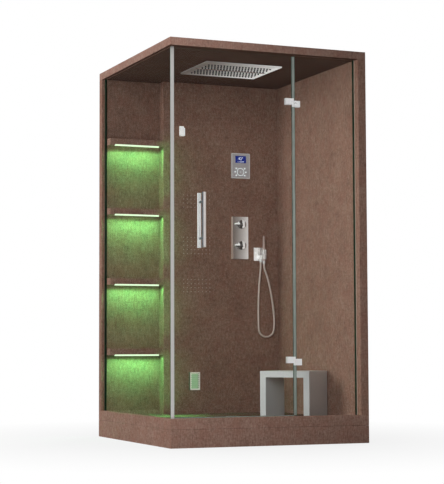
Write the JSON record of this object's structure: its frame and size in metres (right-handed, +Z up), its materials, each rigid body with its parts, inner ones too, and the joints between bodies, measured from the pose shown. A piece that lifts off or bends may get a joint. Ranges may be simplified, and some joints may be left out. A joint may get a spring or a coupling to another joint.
{
  "type": "steam shower cabin",
  "caption": "Square corner steam shower cabin with stone-look walls, hinged glass door, lit shelf niche, mixer, hand shower, rain head, steam outlet and stool.",
  "frame": {"origin": "on the floor, under the middle of the square footprint", "axes": "+X to the right seen from the door, +Y to the back wall, +Z up"},
  "size_m": [1.2, 1.2, 2.225],
  "materials": {
    "cladding": "matt stone-look laminate",
    "steel_frame": "black powder coat",
    "zinc": "zinc plated",
    "polymer_grey": "moulded",
    "polished": "polished",
    "brushed": "brushed",
    "aluminium": "satin anodised",
    "clear_glass": "clear safety glass",
    "seal": "translucent soft seal",
    "bezel": "satin",
    "display": "blue lit display",
    "light": "green lit diffuser",
    "steam_light": "green lit housing",
    "copper": "plain",
    "rubber": "matt",
    "solid_surface": "matt solid surface",
    "jet": "satin"
  },
  "bodies": {
    "cabin": {"shower_tray": "cladding", "front_apron": "cladding", "side_apron": "cladding", "base_frame": "steel_frame", "levelling_feet": "zinc", "drain_trap": "polymer_grey", "back_wall": "cladding", "right_wall": "cladding", "roof_panel": "cladding", "housing_front": "cladding", "housing_side": "cladding", "housing_uprights": "aluminium", "shelf_1": "cladding", "shelf_2": "cladding", "shelf_3": "cladding", "shelf_4": "cladding", "shelf_lights": "light", "corner_post": "aluminium", "side_glass": "clear_glass", "fixed_glass": "clear_glass", "wall_channels": "aluminium", "fixed_hinge_leaves": "aluminium", "hinge_pins": "brushed", "robe_hook": "brushed", "control_panel": "bezel", "display_window": "display", "mixer_plate": "polished", "valve_body": "copper", "water_pipes": "copper", "riser_pipe": "copper", "shower_outlet": "polished", "outlet_nut": "polished", "hose": "polished", "steam_cover": "brushed", "steam_box": "steam_light", "steam_generator": "brushed", "steam_pipe": "copper", "rain_plate": "brushed", "rain_box": "brushed", "rain_tips": "rubber", "body_jets": "jet"},
    "door": {"door_glass": "clear_glass", "hinge_seal": "seal", "door_edge_seals": "seal", "door_hinge_leaves": "aluminium", "outer_handle": "brushed", "inner_handle": "brushed"},
    "flow_knob": {"flow_knob": "polished"},
    "temperature_knob": {"temperature_knob": "polished"},
    "power_key": {"power_key": "brushed"},
    "handset": {"handset": "polished", "handset_nut": "polished"},
    "drain_cover": {"drain_cover": "polished"},
    "stool": {"stool": "solid_surface"},
    "key_1": {"key_1": "brushed"},
    "key_2": {"key_2": "brushed"},
    "key_3": {"key_3": "brushed"},
    "key_4": {"key_4": "brushed"},
    "key_5": {"key_5": "brushed"},
    "key_6": {"key_6": "brushed"}
  },
  "joints": [
    {"name": "door_hinge", "type": "hinge", "parent": "cabin", "child": "door", "pos_m": [0.156, -0.562, 1.1], "axis": [0, 0, 1], "range_deg": [0, 100]},
    {"name": "flow_turn", "type": "hinge", "parent": "cabin", "child": "flow_knob", "pos_m": [0.284, 0.44, 1.173], "axis": [0, 1, 0], "range_deg": [-90, 90]},
    {"name": "temperature_turn", "type": "hinge", "parent": "cabin", "child": "temperature_knob", "pos_m": [0.284, 0.44, 1.305], "axis": [0, 1, 0], "range_deg": [-90, 90]},
    {"name": "handset_lift", "type": "slide", "parent": "cabin", "child": "handset", "axis": [0, 0, 1], "range_m": [0, 0.03]},
    {"name": "drain_cover_lift", "type": "slide", "parent": "cabin", "child": "drain_cover", "axis": [0, 0, 1], "range_m": [0, 0.1]},
    {"name": "stool_lift", "type": "slide", "parent": "cabin", "child": "stool", "axis": [0, 0, 1], "range_m": [0, 0.15]},
    {"name": "power_key_press", "type": "slide", "parent": "cabin", "child": "power_key", "axis": [0, 1, 0], "range_m": [0, 0.0008], "stiffness_N_per_m": 400},
    {"name": "key_1_press", "type": "slide", "parent": "cabin", "child": "key_1", "axis": [0, 1, 0], "range_m": [0, 0.0008], "stiffness_N_per_m": 400},
    {"name": "key_2_press", "type": "slide", "parent": "cabin", "child": "key_2", "axis": [0, 1, 0], "range_m": [0, 0.0008], "stiffness_N_per_m": 400},
    {"name": "key_3_press", "type": "slide", "parent": "cabin", "child": "key_3", "axis": [0, 1, 0], "range_m": [0, 0.0008], "stiffness_N_per_m": 400},
    {"name": "key_4_press", "type": "slide", "parent": "cabin", "child": "key_4", "axis": [0, 1, 0], "range_m": [0, 0.0008], "stiffness_N_per_m": 400},
    {"name": "key_5_press", "type": "slide", "parent": "cabin", "child": "key_5", "axis": [0, 1, 0], "range_m": [0, 0.0008], "stiffness_N_per_m": 400},
    {"name": "key_6_press", "type": "slide", "parent": "cabin", "child": "key_6", "axis": [0, 1, 0], "range_m": [0, 0.0008], "stiffness_N_per_m": 400}
  ]
}
